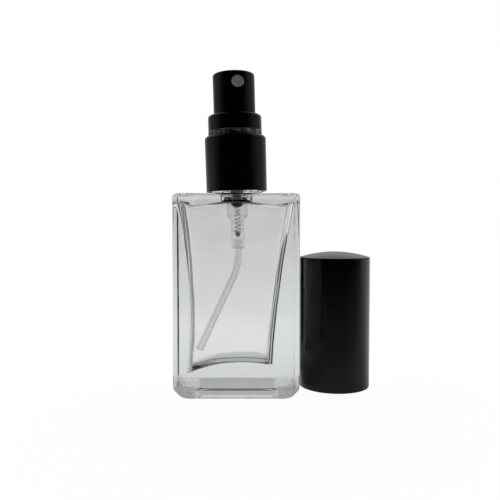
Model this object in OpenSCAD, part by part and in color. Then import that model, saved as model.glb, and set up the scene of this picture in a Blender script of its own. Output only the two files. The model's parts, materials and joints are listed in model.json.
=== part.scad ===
// Rectangular glass spray bottle with a screw-on fine mist pump, and its tall domed overcap.
// Origin: centre of the bottle's base. +Z up, -Y is the front. Millimetres.
// Sprayer heights are measured up the neck from the bottle's shoulder.

/* [Glass bottle] */
// Width of the bottle
body_w = 36; // [34:0.5:40]
// Depth of the bottle, front to back
body_d = 22; // [21:0.5:24]
// Height of the bottle up to its shoulder
body_h = 58.7; // [56:0.1:64]
// Thickness of the front and back walls
face_wall = 3; // [2.5:0.1:3.5]
// Rounding of the four upright edges
upright_edge_r = 1.6; // [1:0.1:2]
// Rounding of the shoulder's edges
shoulder_edge_r = 1.3; // [0.8:0.1:1.6]
// Height of the flattened bevel round the base
heel_h = 3.6; // [2.4:0.1:4]
// Width of that bevel, from the walls in
heel_w = 2.2; // [1.6:0.1:2.6]
// Lean of the neck, with the sprayer on it, towards the left, in degrees
neck_lean = 1.6; // [0:0.1:2]

/* [Cavity] */
// Half width of the cavity under the shoulder
cavity_top_half = 16.4; // [16:0.1:16.6]
// Height of the cavity's narrowest place
cavity_waist_z = 27.5; // [24:0.5:30]
// Left wall at the waist, from the centre
cavity_waist_left = 13.0; // [12.5:0.1:13.5]
// Right wall at the waist, from the centre
cavity_waist_right = 12.0; // [11.5:0.1:13]
// Left end of the cavity's floor, from the centre
cavity_floor_left = 13.9; // [13.5:0.1:14.3]
// Right end of the cavity's floor, from the centre
cavity_floor_right = 10.4; // [10:0.1:12]
// Height of the floor at its left end
floor_left_z = 7.9; // [7.4:0.1:8.4]
// Height of the floor's crown
floor_crown_z = 11; // [10.5:0.1:11.5]
// Height of the floor at its right end
floor_right_z = 10.1; // [9.5:0.1:10.5]
// Height of the ceiling at the side walls
ceiling_side_z = 55.4; // [54.5:0.1:56]
// Height of the ceiling at the middle
ceiling_crown_z = 56.5; // [56.1:0.1:56.9]

/* [Neck finish] */
// Height of the lip above the shoulder
lip_h = 13.8; // [13.6:0.1:14]
// Radius of the neck between its threads
neck_r = 6.45; // [6.4:0.05:6.5]
// Radius of the wide root of the neck
neck_root_r = 7.3; // [7:0.1:7.4]
// Radius of the hole through the neck
neck_bore_r = 4.7; // [4.6:0.05:4.8]
// Radius over the thread's crest
thread_crest_r = 7.2; // [7.1:0.05:7.25]
// Rise of the thread in one turn
thread_pitch = 2.117; // [2:0.001:2.2]
// Turns of thread on the neck
thread_turns = 2; // [1.5:0.25:2]

/* [Collar] */
// Radius of the black sleeve
sleeve_r = 9; // [8.95:0.05:9.05]
// Wall of the sleeve
sleeve_wall = 0.6; // [0.5:0.05:0.65]
// Gap between the shoulder and the sleeve
sleeve_gap = 0.8; // [0.6:0.1:1]
// Height of the sleeve's top
sleeve_top_h = 17.15; // [17:0.05:17.3]
// Radius of the glossy band above the sleeve
band_r = 8; // [7.9:0.05:8.1]
// Height of the band's top
band_top_h = 18.45; // [18.3:0.05:18.6]
// Radius of the upper ring
ring_r = 7.85; // [7.8:0.05:7.9]
// Height of the upper ring's top
ring_top_h = 23.15; // [23:0.05:23.3]
// Radius of the hole that the actuator slides in
ring_bore_r = 6.45; // [6.4:0.05:6.5]

/* [Pump] */
// Stroke of the actuator
stroke = 3.5; // [3:0.1:3.5]
// Slip of the piston on the stem that opens the outlet
piston_slip = 0.6; // [0.5:0.05:0.6]
// Radius of the stem
stem_r = 1.6; // [1.55:0.05:1.6]
// Radius of the stem's passage
stem_bore_r = 0.8; // [0.7:0.05:0.8]
// Outer radius of the pump chamber
chamber_r = 2.95; // [2.9:0.05:3]
// Radius of the pump chamber's bore
chamber_bore_r = 2.25; // [2.2:0.05:2.3]
// Outer radius of the tube socket
socket_r = 1.85; // [1.8:0.05:1.9]
// Radius of the inlet ball
ball_r = 0.8; // [0.75:0.05:0.8]

/* [Dip tube] */
// Outer radius of the dip tube
tube_r = 1.1; // [1:0.05:1.15]
// Radius of the dip tube's bore
tube_bore_r = 0.6; // [0.5:0.05:0.7]
// Radius of its bend
tube_bend_r = 19; // [17:0.5:21]
// Angle of its bend, in degrees
tube_bend = 26.5; // [25:0.5:27]
// Length of its straight lower stretch
tube_straight = 23.5; // [18:0.5:23.5]

/* [Actuator] */
// Radius of the actuator
actuator_r = 6.15; // [6.1:0.05:6.2]
// Height of the actuator's top
actuator_top_h = 35.1; // [34.5:0.1:36]
// Length of the actuator
actuator_l = 13.4; // [13:0.1:13.6]
// Depth of the nozzle's centre below the actuator's top
nozzle_drop = 3.2; // [3:0.1:3.6]
// Radius of the nozzle insert
nozzle_r = 1.8; // [1.7:0.05:1.9]
// Turn of the nozzle from the front towards the right, in degrees
nozzle_turn = 12.5; // [-90:0.5:90]

/* [Overcap] */
// Radius of the overcap
cap_r = 10.75; // [10.6:0.05:10.9]
// Height of the overcap's straight wall
cap_h = 39.8; // [38:0.1:41]
// Rise of the domed top
cap_dome_h = 1.7; // [1:0.1:2.2]
// Wall of the outer shell
cap_wall = 0.8; // [0.7:0.05:0.9]
// Radius of the liner's bore, which slips over the sleeve
liner_bore_r = 9.15; // [9.15:0.05:9.2]
// Place of the overcap's axis, to the right of the bottle's centre
cap_x = 30.05; // [29.6:0.05:40]
// Place of the overcap's axis, behind the bottle's centre
cap_y = 6.65; // [0:0.05:8]

/* [Hidden] */
$fn = 96;
eps = 0.01;

// Glass
heel_flatness = 1.4;                           // 1 is a straight bevel, 2 an ellipse
neck_sink = 1.2;                               // how far the neck runs down into the block
neck_root_l = 2;
neck_step_l = 1;                               // cone from the wide root to the neck
neck_bore_sink = 4;                            // how far the bore runs below the shoulder
thread_low_h = lip_h - 5.9;                    // middle of the thread at its lower end

// Stack of the pump on the lip
gasket_t = 0.9;
flange_t = 0.9;
flange_r = 6.3;
flange_h = lip_h + gasket_t;                   // underside of the housing's flange
flange_top_h = flange_h + flange_t;
deck_h = flange_top_h + 0.05;                  // underside of the closure's deck
deck_hole_r = 4.4;
closure_r = sleeve_r - sleeve_wall;
closure_bore_r = 7.5;
closure_thread_r = 6.75;
closure_turns = 1.5;
skirt_h = sleeve_gap + 0.2;                    // foot of the closure's skirt
skirt_top_h = sleeve_top_h - sleeve_wall;
sleeve_edge_r = 1.2;
top_ring_wall = 0.7;                           // also the thickness of the ring's roof
top_ring_inner_r = ring_r - top_ring_wall;
ring_edge_r = 0.9;

// Inside the pump, from the shoulder (negative heights are below it)
cup_r = 4.2;
cup_bore_r = 3.4;
ledge_h = 5.8;                                 // ledge that carries the stem seal
ledge_t = 0.8;
seal_t = 1.35;
turret_rim_r = 5.1;
turret_rim_h = sleeve_top_h + 0.1;
turret_rim_t = 0.8;
stem_collar_t = 1;
stem_collar_h = ledge_h - stem_collar_t - 0.02;
stem_top_h = 28.6;
piston_h = -2.25;                              // underside of the piston
piston_l = 3.25;
piston_wall = 0.3;
piston_lip_t = 0.5;
stem_foot_h = piston_h + 0.35;
pin_head_r = 1.8;
pin_head_t = 1.5;
pin_head_h = piston_h - pin_head_t - 0.05;     // underside of the valve pin's head
pin_foot_r = 1.2;                              // flat foot of the head, on the return spring
pin_foot_t = 0.6;
pin_shank_w = 0.9;                             // flat shank that leaves the stem's passage open
pin_shank_l = 4;
chamber_end_h = -6.7;                          // where the chamber starts to narrow
well_h = -7.8;                                 // top of the narrow spring well
well_bore_r = 1.3;
spring_floor_h = -11.3;
ball_well_r = 1.05;
seat_h = -12.5;                                // foot of the ball's 45 degree seat
inlet_r = 0.55;
socket_depth = 2.7;
housing_end_h = -16;                           // mouth of the tube socket
running_gap = 0.06;
spring_gap = 0.02;
wire_r = 0.14;
return_coil_r = 1.05;
return_turns = 9;
slip_turns = 5;

// Inside the actuator
actuator_h = actuator_top_h - actuator_l;
actuator_edge_r = 0.6;
actuator_top_t = 1.3;
dish_depth = 0.35;
dish_r = 28;
skirt_bore_r = 5.35;
boss_r = 2.9;
boss_h = actuator_h + 0.5;
nozzle_h = actuator_top_h - nozzle_drop;
nozzle_depth = 2.6;
nozzle_wall = 0.7;
feed_r = 0.5;                                  // passage from the boss to the nozzle
post_r = 0.95;
post_l = 1.4;
insert_l = 2.3;
insert_inset = 0.12;                           // how far the insert's face lies inside the actuator
insert_face_t = 0.7;
orifice_r = 0.15;

// Overcap
liner_inset = 0.6;                             // how far the liner stays above the shell's mouth
liner_top_t = 1.2;
liner_lead = 0.6;                              // height of the taper at the liner's mouth
cap_inner_r = cap_r - cap_wall;

// ---------------------------------------------------------------- shared shapes

// Centre of the circle through the points a, b and c
function circle_centre(a, b, c) =
    let (d = 2 * (a.x * (b.y - c.y) + b.x * (c.y - a.y) + c.x * (a.y - b.y)),
         aa = a * a, bb = b * b, cc = c * c)
    [(aa * (b.y - c.y) + bb * (c.y - a.y) + cc * (a.y - b.y)) / d,
     (aa * (c.x - b.x) + bb * (a.x - c.x) + cc * (b.x - a.x)) / d];

// The same turn, the short way round
function short_turn(angle) = angle > 180 ? angle - 360 : angle < -180 ? angle + 360 : angle;

// Points of the arc that runs from a to c through b
function arc_through(a, b, c, steps) =
    let (o = circle_centre(a, b, c), r = norm(a - o),
         start = atan2(a.y - o.y, a.x - o.x),
         turn = short_turn(atan2(c.y - o.y, c.x - o.x) - start))
    [for (i = [0:steps]) o + r * [cos(start + turn * i / steps), sin(start + turn * i / steps)]];

// Closed solid through a row of rings, each with the same number of points
module skin(rings) {
    n = len(rings[0]);
    last = (len(rings) - 1) * n;
    points = [for (ring = rings) each ring];
    sides = [for (i = [0:len(rings) - 2], j = [0:n - 1])
        let (a = i * n + j, b = i * n + (j + 1) % n)
        each [[a, b, a + n], [b, b + n, a + n]]];
    ends = [[for (j = [n - 1:-1:0]) j], [for (j = [0:n - 1]) last + j]];
    polyhedron(points, concat(sides, ends), convexity = 10);
}

// Bead of a screw thread: root and crest radii, half widths there, lowest turn's height
module thread_bead(root_r, crest_r, low_h, turns, root_half = 0.45, crest_half = 0.25) {
    steps = round(turns * 20);
    order = crest_r > root_r ? [0, 1, 2, 3] : [3, 2, 1, 0];
    skin([for (i = [0:steps])
        let (angle = turns * 360 * i / steps, h = low_h + thread_pitch * angle / 360,
             fade = min(1, 0.15 + i / 2, 0.15 + (steps - i) / 2),
             crest = root_r + (crest_r - root_r) * fade,
             ring = [[root_r, -root_half], [crest, -crest_half], [crest, crest_half], [root_r, root_half]])
        [for (k = order) [ring[k].x * cos(angle), ring[k].x * sin(angle), h + ring[k].y]]]);
}

// Coil spring standing on z = 0, with its end coils drawn together
module coil_spring(mean_r, wire, length, turns) {
    steps = turns * 12;
    skin([for (i = [0:steps])
        let (u = i / steps, angle = 360 * turns * u, rise = length - 2 * wire,
             ends = 1.2 / turns, v = (u - ends) / (1 - 2 * ends),
             h = wire + rise * min(1, max(0, v)) + 0.001 * u)
        [for (k = [0:5]) let (r = mean_r + wire * cos(60 * k), z = h + wire * sin(60 * k))
            [r * cos(angle), r * sin(angle), z]]]);
}

// Outline with four round corners, standing on the X axis
module rounded_outline(w, h, r) {
    translate([-w / 2, r]) square([w, h - 2 * r]);
    translate([-w / 2 + r, 0]) square([w - 2 * r, h]);
    for (x = [r - w / 2, w / 2 - r], y = [r, h - r]) translate([x, y]) circle(r);
}

// Half profile of a turned solid with a round top edge, from z = low to z = high
module turned_profile(r, low, high, edge) {
    translate([0, low]) square([r - edge, high - low]);
    translate([0, low]) square([r, high - low - edge]);
    translate([r - edge, high - edge]) intersection() {
        circle(edge);
        square(edge);
    }
}

// Plain ring or pipe from z = low to z = high
module tube(outer_r, inner_r, low, high) {
    translate([0, 0, low]) difference() {
        cylinder(r = outer_r, h = high - low);
        translate([0, 0, -1]) cylinder(r = inner_r, h = high - low + 2);
    }
}

// The neck's own frame: z = 0 at the shoulder, leaning with the neck
module on_neck() translate([0, 0, body_h]) rotate([0, -neck_lean, 0]) children();

// The overcap's own frame, standing on the floor
module on_cap_spot() translate([cap_x, cap_y, 0]) children();

// ---------------------------------------------------------------- glass

// Side view of the block, w wide: round shoulder, and a heel between a bevel and an ellipse
module block_outline(w) {
    low = 10;
    steps = 8;
    heel = [for (i = [0:steps]) let (turn = 90 * i / steps, power = 2 / heel_flatness)
        [w / 2 - heel_w * (1 - pow(sin(turn), power)), heel_h * (1 - pow(cos(turn), power))]];
    mirrored = [for (i = [steps:-1:0]) [-heel[i].x, heel[i].y]];
    polygon(concat(heel, [[w / 2, 2 * low], [-w / 2, 2 * low]], mirrored));
    translate([0, low]) rounded_outline(w, body_h - low, shoulder_edge_r);
}

module glass_block() {
    intersection() {
        linear_extrude(body_h) translate([0, -body_d / 2]) rounded_outline(body_w, body_d, upright_edge_r);
        translate([0, body_d / 2 + 1, 0]) rotate([90, 0, 0]) linear_extrude(body_d + 2)
            block_outline(body_w);
        translate([-body_w / 2 - 1, 0, 0]) rotate([90, 0, 90]) linear_extrude(body_w + 2)
            block_outline(body_d);
    }
}

// Waisted space for the liquid, with its floor lowest at the left
module cavity() {
    left_top = [-cavity_top_half, ceiling_side_z];
    right_top = [cavity_top_half, ceiling_side_z];
    left_foot = [-cavity_floor_left, floor_left_z];
    right_foot = [cavity_floor_right, floor_right_z];
    outline = concat(
        arc_through(left_top, [-cavity_waist_left, cavity_waist_z], left_foot, 10),
        arc_through(left_foot, [-1.5, floor_crown_z], right_foot, 8),
        arc_through(right_foot, [cavity_waist_right, cavity_waist_z], right_top, 10),
        arc_through(right_top, [0, ceiling_crown_z], left_top, 8));
    unique = [for (i = [0:len(outline) - 1])
        if (norm(outline[i] - outline[(i + 1) % len(outline)]) > eps) outline[i]];
    cavity_d = body_d - 2 * face_wall;
    translate([0, cavity_d / 2, 0]) rotate([90, 0, 0]) linear_extrude(cavity_d) polygon(unique);
}

module glass_bottle() {
    color("lightcyan", 0.35) difference() {
        union() {
            glass_block();
            on_neck() {
                translate([0, 0, -neck_sink]) cylinder(r = neck_r, h = lip_h + neck_sink);
                translate([0, 0, -neck_sink]) cylinder(r = neck_root_r, h = neck_root_l + neck_sink);
                translate([0, 0, neck_root_l]) cylinder(r1 = neck_root_r, r2 = neck_r, h = neck_step_l);
                thread_bead(neck_r - 0.2, thread_crest_r, thread_low_h, thread_turns);
            }
        }
        cavity();
        on_neck() translate([0, 0, -neck_bore_sink])
            cylinder(r = neck_bore_r, h = lip_h + neck_bore_sink + 1);
    }
}

// ---------------------------------------------------------------- closure

module neck_gasket() {
    color("whitesmoke") on_neck() tube(flange_r, cup_r + 0.1, lip_h, lip_h + gasket_t);
}

// Threaded inner ring: its polished waist shows as a band between the sleeve and the upper ring
module closure_ring() {
    spigot_h = band_top_h - eps;
    spigot_top_h = ring_top_h - top_ring_wall - 0.04;
    color([0.05, 0.05, 0.05]) on_neck() {
        difference() {
            union() {
                translate([0, 0, skirt_h]) cylinder(r = closure_r - eps, h = skirt_top_h - skirt_h - eps);
                translate([0, 0, skirt_top_h - 1]) cylinder(r = band_r, h = band_top_h - skirt_top_h + 1);
                translate([0, 0, spigot_h])
                    cylinder(r = top_ring_inner_r - eps, h = spigot_top_h - spigot_h);
            }
            translate([0, 0, skirt_h - 1]) cylinder(r = closure_bore_r, h = deck_h - skirt_h + 1);
            translate([0, 0, deck_h - 1]) cylinder(r = deck_hole_r, h = sleeve_top_h - deck_h + 2);
            translate([0, 0, sleeve_top_h]) cylinder(r = ring_bore_r, h = ring_top_h - sleeve_top_h);
        }
        thread_bead(closure_bore_r + 0.2, closure_thread_r, thread_low_h + thread_pitch / 2, closure_turns);
    }
}

module collar_sleeve() {
    color([0.03, 0.03, 0.03]) on_neck() rotate_extrude() difference() {
        turned_profile(sleeve_r, sleeve_gap, sleeve_top_h, sleeve_edge_r);
        turned_profile(closure_r, sleeve_gap - 1, skirt_top_h, 0.05);
        translate([0, sleeve_gap]) square([band_r + eps, sleeve_top_h]);
    }
}

module collar_top_ring() {
    color([0.03, 0.03, 0.03]) on_neck() rotate_extrude() difference() {
        turned_profile(ring_r, band_top_h + eps, ring_top_h, ring_edge_r);
        square([top_ring_inner_r, ring_top_h - top_ring_wall]);
        translate([0, band_top_h]) square([ring_bore_r, ring_top_h]);
    }
}

// ---------------------------------------------------------------- pump

module pump_housing() {
    above = flange_top_h - seat_h;
    color("gainsboro", 0.7) on_neck() difference() {
        union() {
            translate([0, 0, flange_h]) cylinder(r = flange_r, h = flange_t);
            translate([0, 0, ledge_h - ledge_t]) cylinder(r = cup_r, h = flange_top_h - ledge_h + ledge_t);
            translate([0, 0, chamber_end_h]) cylinder(r = chamber_r, h = ledge_h - chamber_end_h);
            translate([0, 0, well_h]) cylinder(r1 = socket_r, r2 = chamber_r, h = chamber_end_h - well_h);
            translate([0, 0, housing_end_h]) cylinder(r = socket_r, h = well_h - housing_end_h);
        }
        translate([0, 0, ledge_h]) cylinder(r = cup_bore_r, h = above);
        translate([0, 0, chamber_end_h]) cylinder(r = chamber_bore_r, h = above);
        translate([0, 0, well_h])
            cylinder(r1 = well_bore_r, r2 = chamber_bore_r, h = chamber_end_h - well_h);
        translate([0, 0, spring_floor_h]) cylinder(r = well_bore_r, h = well_h - spring_floor_h + eps);
        translate([0, 0, seat_h + ball_well_r - inlet_r]) cylinder(r = ball_well_r, h = 2);
        translate([0, 0, seat_h]) cylinder(r1 = inlet_r, r2 = ball_well_r, h = ball_well_r - inlet_r);
        translate([0, 0, housing_end_h]) cylinder(r = inlet_r, h = 5);
        translate([0, 0, housing_end_h - 1]) cylinder(r = tube_r + eps, h = socket_depth + 1);
    }
}

// Plug snapped into the housing: it holds the closure on the pump and guides the stem
module turret() {
    plug_h = ledge_h + seal_t + eps;
    throat_h = flange_top_h + eps;
    color("gainsboro", 0.9) on_neck() difference() {
        union() {
            translate([0, 0, plug_h]) cylinder(r = cup_bore_r - eps, h = flange_top_h - plug_h + eps);
            translate([0, 0, throat_h]) cylinder(r = deck_hole_r - 0.1, h = turret_rim_h - throat_h + eps);
            translate([0, 0, turret_rim_h]) cylinder(r = turret_rim_r, h = turret_rim_t);
        }
        translate([0, 0, ledge_h]) cylinder(r = stem_r + running_gap, h = ring_top_h);
    }
}

module stem_seal() {
    color("dimgray") on_neck()
        tube(cup_bore_r - 0.05, stem_r + running_gap, ledge_h + eps, ledge_h + seal_t);
}

// Hollow stem with the collar that the stem seal stops
module stem() {
    stem_l = stem_top_h - stem_foot_h;
    color("gainsboro") on_neck() difference() {
        union() {
            translate([0, 0, stem_foot_h]) cylinder(r = stem_r, h = stem_l);
            translate([0, 0, stem_collar_h]) cylinder(r = chamber_bore_r - 0.15, h = stem_collar_t);
        }
        translate([0, 0, stem_foot_h - 1]) cylinder(r = stem_bore_r, h = stem_l + 2);
    }
}

// Outlet valve: a flat shank pressed into the stem, and the head that the piston seats on
module valve_pin() {
    color("dimgray") on_neck() translate([0, 0, pin_head_h]) {
        cylinder(r1 = pin_foot_r, r2 = pin_head_r, h = pin_foot_t);
        translate([0, 0, pin_foot_t]) cylinder(r = pin_head_r, h = pin_head_t - pin_foot_t);
        intersection() {
            translate([0, 0, pin_head_t - 0.5]) cylinder(r = stem_bore_r - eps, h = pin_shank_l + 0.5);
            translate([-stem_r, -pin_shank_w / 2, 0]) cube([2 * stem_r, pin_shank_w, 2 * pin_shank_l]);
        }
    }
}

module piston() {
    slip_bore_r = stem_r + 0.05;
    color("white") on_neck() translate([0, 0, piston_h]) difference() {
        union() {
            cylinder(r = slip_bore_r + piston_wall, h = piston_l);
            for (h = [0, piston_l - piston_lip_t])
                translate([0, 0, h]) cylinder(r = chamber_bore_r - 0.03, h = piston_lip_t);
        }
        translate([0, 0, -1]) cylinder(r = slip_bore_r, h = piston_l + 2);
    }
}

module precompression_spring() {
    low = piston_h + piston_l + spring_gap;
    color("silver") on_neck() translate([0, 0, low])
        coil_spring(stem_r + 0.32, wire_r, stem_collar_h - spring_gap - low, slip_turns);
}

module return_spring() {
    low = spring_floor_h + spring_gap;
    color("silver") on_neck() translate([0, 0, low])
        coil_spring(return_coil_r, wire_r, pin_head_h - spring_gap - low, return_turns);
}

// Steel ball of the inlet valve, just clear of its 45 degree seat
module inlet_ball() {
    seat_contact = ball_r * cos(45);
    centre_h = seat_h + (seat_contact - inlet_r) + seat_contact + 0.03;
    color("silver") on_neck() translate([0, 0, centre_h]) sphere(ball_r, $fn = 48);
}

// Stations along the tube in the neck's frame, each [x, z, turn]: socket, bend, then straight
// to the corner; extra lengthens both ends
function tube_stations(extra) = concat(
    [[0, housing_end_h + socket_depth - 0.02 + extra, 0]],
    [for (i = [0:10]) let (turn = tube_bend * i / 10)
        [tube_bend_r * (cos(turn) - 1), housing_end_h - tube_bend_r * sin(turn), turn]],
    [[tube_bend_r * (cos(tube_bend) - 1) - (tube_straight + extra) * sin(tube_bend),
      housing_end_h - tube_bend_r * sin(tube_bend) - (tube_straight + extra) * cos(tube_bend),
      tube_bend]]);

module tube_sweep(r, extra) {
    skin([for (at = tube_stations(extra))
        [for (k = [0:15]) let (side = r * cos(22.5 * k), out = r * sin(22.5 * k))
            [at.x + side * cos(at.z), out, at.y - side * sin(at.z)]]]);
}

module dip_tube() {
    color("whitesmoke", 0.8) on_neck() difference() {
        tube_sweep(tube_r, 0);
        tube_sweep(tube_bore_r, 0.5);
    }
}

// ---------------------------------------------------------------- actuator

// Frame whose Z runs out through the nozzle, from the actuator's axis
module toward_nozzle()
    rotate([0, 0, nozzle_turn]) translate([0, 0, nozzle_h]) rotate([90, 0, 0]) children();

module actuator() {
    pocket_h = actuator_r - nozzle_depth;
    color([0.03, 0.03, 0.03]) on_neck() difference() {
        union() {
            difference() {
                rotate_extrude() turned_profile(actuator_r, actuator_h, actuator_top_h, actuator_edge_r);
                translate([0, 0, actuator_h - 1])
                    cylinder(r = skirt_bore_r, h = actuator_l - actuator_top_t + 1);
            }
            translate([0, 0, boss_h]) cylinder(r = boss_r, h = actuator_l - 1);
            intersection() {
                toward_nozzle() cylinder(r = nozzle_r + nozzle_wall, h = actuator_r);
                cylinder(r = actuator_r - 0.3, h = actuator_top_h - 0.5);
            }
        }
        translate([0, 0, boss_h - 1]) cylinder(r = stem_r + 0.05, h = stem_top_h - boss_h + 1.1);
        translate([0, 0, boss_h]) cylinder(r = stem_bore_r, h = nozzle_h - boss_h);
        toward_nozzle() cylinder(r = feed_r, h = pocket_h + eps);
        toward_nozzle() difference() {
            translate([0, 0, pocket_h]) cylinder(r = nozzle_r, h = nozzle_depth + 1);
            tube(post_r, feed_r, pocket_h - 1, pocket_h + post_l);
        }
        translate([0, 0, actuator_top_h + dish_r - dish_depth]) sphere(dish_r, $fn = 128);
    }
}

// Cup-shaped mist insert with its small orifice, pushed over the actuator's post
module nozzle_insert() {
    face = actuator_r - insert_inset;
    color([0.38, 0.38, 0.37]) on_neck() toward_nozzle() difference() {
        translate([0, 0, face - insert_l]) cylinder(r = nozzle_r - eps, h = insert_l);
        translate([0, 0, face - insert_l - 1]) cylinder(r = post_r + eps, h = insert_l - insert_face_t + 1);
        translate([0, 0, face - insert_face_t - 1]) cylinder(r = orifice_r, h = insert_face_t + 2);
    }
}

// ---------------------------------------------------------------- overcap

// Closed cylinder standing on z = 0, its domed top rising above h
module domed_cylinder(r, h, rise) {
    dome_r = (r * r + rise * rise) / (2 * rise);
    intersection() {
        cylinder(r = r, h = h + rise + 1);
        translate([0, 0, h + rise - dome_r]) sphere(dome_r, $fn = 192);
    }
}

module overcap_shell() {
    color([0.03, 0.03, 0.03]) on_cap_spot() difference() {
        domed_cylinder(cap_r, cap_h, cap_dome_h);
        translate([0, 0, -1]) cylinder(r = cap_inner_r, h = cap_h + 1);
    }
}

module overcap_liner() {
    liner_r = cap_inner_r - eps;
    color([0.12, 0.12, 0.12]) on_cap_spot() difference() {
        translate([0, 0, liner_inset]) cylinder(r = liner_r, h = cap_h - liner_inset - 0.02);
        translate([0, 0, -1]) cylinder(r = liner_bore_r, h = cap_h - liner_top_t + 1);
        translate([0, 0, liner_inset - eps])
            cylinder(r1 = liner_r - 0.2, r2 = liner_bore_r, h = liner_lead);
    }
}

glass_bottle();
neck_gasket();
closure_ring();
collar_sleeve();
collar_top_ring();
pump_housing();
turret();
stem_seal();
stem();
valve_pin();
piston();
precompression_spring();
return_spring();
inlet_ball();
dip_tube();
actuator();
nozzle_insert();
overcap_shell();
overcap_liner();
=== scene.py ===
"""Looks of a rectangular glass spray bottle with a black fine mist pump and its overcap."""

import json
import math

import bmesh
import bpy
from mathutils import Matrix, Vector, noise


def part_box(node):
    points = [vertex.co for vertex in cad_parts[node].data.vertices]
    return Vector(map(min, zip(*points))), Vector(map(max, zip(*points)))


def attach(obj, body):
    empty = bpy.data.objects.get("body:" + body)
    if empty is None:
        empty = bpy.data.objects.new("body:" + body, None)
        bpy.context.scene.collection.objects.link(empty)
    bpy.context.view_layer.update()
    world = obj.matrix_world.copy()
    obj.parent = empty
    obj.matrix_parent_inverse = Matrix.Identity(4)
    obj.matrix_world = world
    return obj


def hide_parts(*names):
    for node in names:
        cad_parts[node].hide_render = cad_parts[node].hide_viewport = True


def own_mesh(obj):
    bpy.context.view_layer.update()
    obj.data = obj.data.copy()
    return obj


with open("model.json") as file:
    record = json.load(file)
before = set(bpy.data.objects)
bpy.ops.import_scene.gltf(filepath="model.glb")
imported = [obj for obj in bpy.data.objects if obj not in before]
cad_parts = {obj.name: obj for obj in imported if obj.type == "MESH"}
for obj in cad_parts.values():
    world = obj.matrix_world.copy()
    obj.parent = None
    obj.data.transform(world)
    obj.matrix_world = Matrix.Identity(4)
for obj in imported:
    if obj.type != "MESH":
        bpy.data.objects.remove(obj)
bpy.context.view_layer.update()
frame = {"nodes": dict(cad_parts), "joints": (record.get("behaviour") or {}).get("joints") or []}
noise.seed_set(1)    # noise_vector differs from run to run without a seed

MM = 0.001
JOINTS = {joint["name"]: joint for joint in frame["joints"]}

# ------------------------------------------------------------------ places from the frame

BODY_LOW, BODY_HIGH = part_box("glass_bottle")
HALF_W = (BODY_HIGH.x - BODY_LOW.x) / 2 / MM
HALF_D = (BODY_HIGH.y - BODY_LOW.y) / 2 / MM
SHOULDER_Z = JOINTS["collar_turn"]["pos_m"][2] / MM
NECK_AXIS = Vector(JOINTS["collar_turn"]["axis"])
CAP_LOW, CAP_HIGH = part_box("overcap_shell")
CAP_CENTRE = Vector(((CAP_LOW.x + CAP_HIGH.x) / 2, (CAP_LOW.y + CAP_HIGH.y) / 2, 0))

# The neck's own frame: origin at the shoulder, Z up the leaning neck
NECK_LEAN = Vector((0, 0, 1)).rotation_difference(NECK_AXIS).to_matrix().to_4x4()
NECK = Matrix.Translation((0, 0, SHOULDER_Z * MM)) @ NECK_LEAN


def neck_size(node):
    """Largest radius, lowest and highest place of a CAD node, in millimetres up the neck."""
    to_neck = NECK.inverted()
    points = [to_neck @ v.co for v in frame["nodes"][node].data.vertices]
    radius = max(math.hypot(p.x, p.y) for p in points)
    return radius / MM, min(p.z for p in points) / MM, max(p.z for p in points) / MM


# ------------------------------------------------------------------ mesh tools

SHARP_DEG = 40
MERGE_DISTANCE = 1e-7    # metres
LONG_STRAIGHT = 1.5      # straight parts of a profile longer than this are held flat
HOLD_DISTANCE = 0.05


def finish_mesh(name, verts, faces, place, sharp_deg):
    """Object from points in millimetres, placed by a matrix, smooth but for its sharp edges."""
    mesh = bpy.data.meshes.new(name)
    mesh.from_pydata([place @ (Vector(v) * MM) for v in verts], [], faces)
    build = bmesh.new()
    build.from_mesh(mesh)
    bmesh.ops.remove_doubles(build, verts=build.verts, dist=MERGE_DISTANCE)
    bmesh.ops.dissolve_degenerate(build, edges=build.edges, dist=MERGE_DISTANCE)
    bmesh.ops.recalc_face_normals(build, faces=build.faces)
    build.to_mesh(mesh)
    build.free()
    for polygon in mesh.polygons:
        polygon.use_smooth = True
    mesh.set_sharp_from_angle(angle=math.radians(sharp_deg))
    piece = bpy.data.objects.new(name, mesh)
    bpy.context.scene.collection.objects.link(piece)
    return piece


def surface(name, rows, place, closed, capped=False, sharp_deg=SHARP_DEG):
    """Quads between rows of points. Closed joins the last row to the first, capped closes both ends flat."""
    count, n = len(rows), len(rows[0])
    faces = []
    for i in range(count if closed else count - 1):
        low, high = i * n, (i + 1) % count * n
        for j in range(n):
            k = (j + 1) % n
            faces.append((low + j, low + k, high + k, high + j))
    if capped:
        faces.append(tuple(range(n))[::-1])
        faces.append(tuple((count - 1) * n + j for j in range(n)))
    return finish_mesh(name, [p for row in rows for p in row], faces, place, sharp_deg)


def arc(x, z, r, start, end, steps):
    """Points of an arc in a profile, angles in degrees from +X."""
    return [(x + r * math.cos(math.radians(start + (end - start) * i / steps)),
             z + r * math.sin(math.radians(start + (end - start) * i / steps)))
            for i in range(steps + 1)]


def held(profile):
    """Profile with a point close to each end of its long straight parts, so shading stays flat there."""
    made = []
    for (r, z), (next_r, next_z) in zip(profile, profile[1:]):
        made.append((r, z))
        length = math.hypot(next_r - r, next_z - z)
        if length > LONG_STRAIGHT:
            for t in (HOLD_DISTANCE / length, 1 - HOLD_DISTANCE / length):
                made.append((r + (next_r - r) * t, z + (next_z - z) * t))
    return made + [profile[-1]]


def lathe(name, profile, place, segments, sharp_deg=SHARP_DEG):
    """Turned solid from a profile of (radius, height) points, which closes on itself unless it
    starts and ends on the axis."""
    angles = [2 * math.pi * i / segments for i in range(segments)]
    rows = [[(r * math.cos(a), r * math.sin(a), z) for a in angles] for r, z in held(profile)]
    closed = profile[0][0] > 0 or profile[-1][0] > 0
    return surface(name, rows, place, closed, sharp_deg=sharp_deg)


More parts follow.
